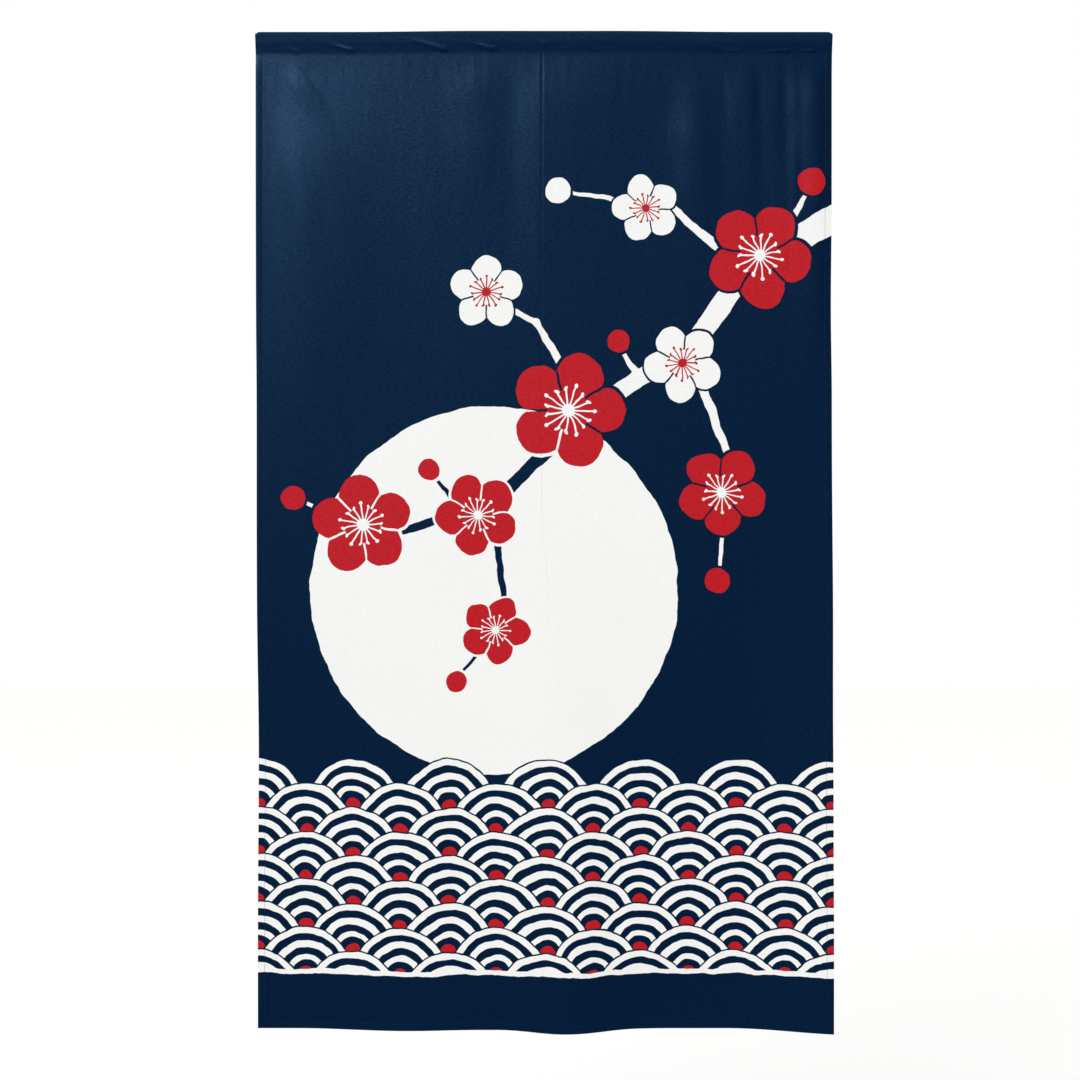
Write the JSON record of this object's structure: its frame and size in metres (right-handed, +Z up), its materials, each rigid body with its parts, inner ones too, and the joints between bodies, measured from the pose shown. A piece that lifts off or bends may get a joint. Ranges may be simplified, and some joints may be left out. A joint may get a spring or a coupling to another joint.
{
  "type": "noren curtain",
  "caption": "Doorway curtain of one length of printed cloth, with a sewn rod pocket along its top edge and narrow hems, hanging in soft folds.",
  "frame": {"origin": "middle of the top edge, on the fold of the rod pocket", "axes": "+Z up, +X to the right of someone who faces the printed side, -Y out of the printed face; the cloth hangs towards -Z"},
  "size_m": [0.8533, 0.0391, 1.4765],
  "materials": {
    "navy_cloth": "matt plain weave, dyed navy with an off-white and red print",
    "navy_thread": "spun polyester sewing thread"
  },
  "bodies": {
    "root": {"panel": "navy_cloth", "rod_pocket": "navy_cloth"}
  },
  "joints": []
}
